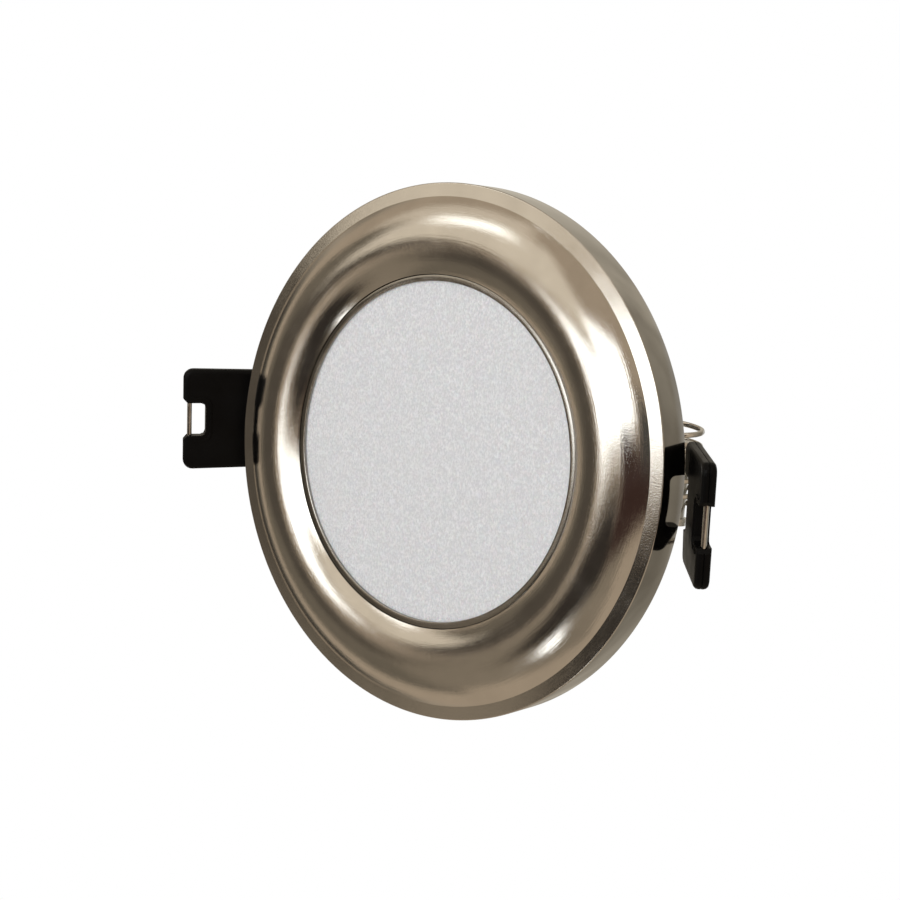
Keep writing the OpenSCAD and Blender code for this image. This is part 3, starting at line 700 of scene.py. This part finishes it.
def pale_floor():
    bm = bmesh.new()
    bmesh.ops.create_grid(bm, x_segments=8, y_segments=8, size=12.0)
    material, tree, shader = look("pale_floor", (0.78, 0.77, 0.75), 0.0, 0.8)
    shader.inputs["Emission Color"].default_value = (1, 0.97, 0.93, 1)
    tree.links.new(calculated(tree, "MULTIPLY", seen(tree), FLOOR_GLOW), shader.inputs["Emission Strength"])
    warm = add(tree, "ShaderNodeEmission", {"Color": (*TAN_FLOOR, 1), "Strength": 1.0}).outputs[0]
    both = add(tree, "ShaderNodeMixShader", {0: rays(tree, "Is Glossy Ray"), 1: shader.outputs[0], 2: warm})
    tree.links.new(both.outputs[0], tree.nodes["Material Output"].inputs["Surface"])
    floor = new_object("floor", bm, material)
    floor.location = (0, 0, FLOOR_Z)


def card(name, x, y, z, width, height, colour, turn=0):
    """A level studio card or flag, only seen in reflections."""
    bm = bmesh.new()
    bmesh.ops.create_grid(bm, x_segments=1, y_segments=1, size=0.5)
    material, tree, shader = look(name, (0, 0, 0), 0.0, 1.0, Specular_IOR_Level=0.0)
    shader.inputs["Emission Color"].default_value = (*colour, 1)
    shader.inputs["Emission Strength"].default_value = 1.0
    piece = new_object(name, bm, material)
    piece.location = (x, y, z)
    piece.rotation_euler = (0, 0, math.radians(turn))
    piece.scale = (width, height, 1)
    piece.visible_camera = False
    piece.visible_diffuse = False
    piece.visible_shadow = False


def softbox(name, x, y, z, width, height, radiance, turn=0, glossy=True):
    """A level area lamp that faces up at the light."""
    lamp = bpy.data.lights.new(name, "AREA")
    lamp.shape = "RECTANGLE"
    lamp.size, lamp.size_y = width, height
    lamp.energy = radiance * math.pi * width * height
    lamp.color = LAMP_COLOUR
    obj = bpy.data.objects.new(name, lamp)
    obj.location = (x, y, z)
    obj.rotation_euler = (math.pi, 0, math.radians(turn))
    obj.visible_glossy = glossy
    bpy.context.scene.collection.objects.link(obj)


def mirrored_room(tree):
    """Colour of the room that metal mirrors, by direction: tan walls, a dark one in the west near
    the horizon, a bright ceiling, brown streaks and a pale window."""
    way = add(tree, "ShaderNodeTexCoord").outputs["Generated"]
    parts = add(tree, "ShaderNodeSeparateXYZ", {0: way}).outputs
    height = parts["Z"]
    side = add(tree, "ShaderNodeVectorMath", {0: way, 1: WINDOW_SIDE},
               operation="DOT_PRODUCT").outputs["Value"]
    upper = mixed(tree, spread(tree, side, 0, 1, -0.4, 0.15), BROWN_WALL, SAND_WALL)
    walls = mixed(tree, spread(tree, height, 0, 1, 0.1, 0.5), TAN_WALL, upper)
    dark = mixed(tree, spread(tree, height, 0, 1, -0.02, 0.15), DARK_FOOT, DARK_WALL)
    west = spread(tree, parts["X"], 0, 1, -0.5, -0.75)
    west = calculated(tree, "MULTIPLY", west, spread(tree, parts["Y"], 0, 1, -0.35, -0.1))
    west = calculated(tree, "MULTIPLY", west, spread(tree, height, 0, 1, 0.55, 0.4))
    walls = mixed(tree, west, walls, dark)
    walls = mixed(tree, spread(tree, height, 0, 1, 0.9, 0.97), walls, CEILING)
    drawn_out = add(tree, "ShaderNodeMapping", {"Vector": way, "Scale": (1, 1, 0.4)}).outputs[0]
    streaks = noise(tree, drawn_out, 260, 2)
    walls = mixed(tree, spread(tree, streaks, 0.45, 0, 0.35, 0.6), walls, STREAK)
    window = calculated(tree, "MULTIPLY", spread(tree, side, 0, 1, 0.25, 0.6),
                        spread(tree, height, 0, 1, 0.35, 0.6))
    return mixed(tree, window, walls, WINDOW)


def white_world():
    """White for camera and transmission rays, a plain pale light for diffuse ones, and the mirrored
    room for glossy ones."""
    world = bpy.data.worlds.new("studio")
    bpy.context.scene.world = world
    world.use_nodes = True
    tree = world.node_tree
    tree.nodes.clear()
    mirrored = add(tree, "ShaderNodeBackground", {"Color": mirrored_room(tree), "Strength": 1.0})
    room = add(tree, "ShaderNodeBackground", {"Color": (*ROOM_COLOUR, 1), "Strength": ROOM_LIGHT})
    backdrop = add(tree, "ShaderNodeBackground", {"Color": (*BACKDROP, 1), "Strength": 1.0})
    glossy = rays(tree, "Is Glossy Ray")
    lit = add(tree, "ShaderNodeMixShader", {0: glossy, 1: room.outputs[0], 2: mirrored.outputs[0]})
    both = add(tree, "ShaderNodeMixShader", {0: seen(tree), 1: lit.outputs[0], 2: backdrop.outputs[0]})
    add(tree, "ShaderNodeOutputWorld", {"Surface": both.outputs[0]})


pale_floor()
white_world()

# Lamps: centre, width, height, radiance and turn in degrees
softbox("key_near", -0.08, -0.032, -0.5, 0.43, 0.1, 3.4, -15)
softbox("key_wide", 0.12, -0.145, -0.5, 0.3, 0.2, 3.0, -22)
softbox("fill", -0.38, -0.4, -0.5, 0.26, 0.14, 1.8, -10)
softbox("kicker", -0.05, 0.4, -0.5, 0.08, 0.12, 3.0, -30)
softbox("front_fill", 0.0, 0.0, -0.6, 1.2, 1.2, 0.15, glossy=False)

# Cards: centre, width, height, colour and turn in degrees
card("pale_bounce", -0.35, -0.29, -0.52, 0.6, 0.42, (1.0, 0.88, 0.71), -10)
card("north_bounce", -0.65, -0.75, -0.55, 0.9, 0.5, (0.92, 0.8, 0.64))
card("north_window", 0.5, -1.9, -0.6, 1.6, 1.0, (1.8, 1.75, 1.65))
card("near_flag", -0.09, 0.19, -0.49, 0.32, 0.22, (0.05, 0.042, 0.034), -12)
card("camera_side", 0.4, 0.08, -0.49, 0.66, 0.26, (0.065, 0.036, 0.028))
card("camera_shade", 0.5, -0.1, -0.49, 0.3, 0.24, (0.1, 0.095, 0.085))
card("west_table", -0.75, 0.1, -0.51, 0.7, 0.36, (0.12, 0.1, 0.078), 5)
card("south_table", -0.1, 0.45, -0.55, 0.8, 0.62, (0.34, 0.28, 0.21))
card("west_floor", -1.65, 0.4, -0.7, 2.2, 1.9, (0.22, 0.185, 0.14))


# ---- Camera, fitted to the photograph's circles of the trim ring and the lens ----
PHOTO_SIZE = 900
SHIFT_PX = -60
CAMERA_PLACE = (0.2256, -0.0485, -0.2914)
CAMERA_RIGHT = (0.7771, -0.0927, 0.6225)
CAMERA_UP = (-0.1311, -0.9912, 0.0161)
CAMERA_BACK = (0.6156, -0.0941, -0.7824)

camera = bpy.data.objects.new("camera", bpy.data.cameras.new("camera"))
bpy.context.scene.collection.objects.link(camera)
bpy.context.scene.camera = camera
camera.data.sensor_width = 36
camera.data.lens = 64
camera.data.shift_y = SHIFT_PX / PHOTO_SIZE
axes = Matrix((CAMERA_RIGHT, CAMERA_UP, CAMERA_BACK)).transposed()
camera.matrix_world = Matrix.Translation(CAMERA_PLACE) @ axes.to_quaternion().to_matrix().to_4x4()
bpy.context.scene.view_settings.view_transform = "Standard"
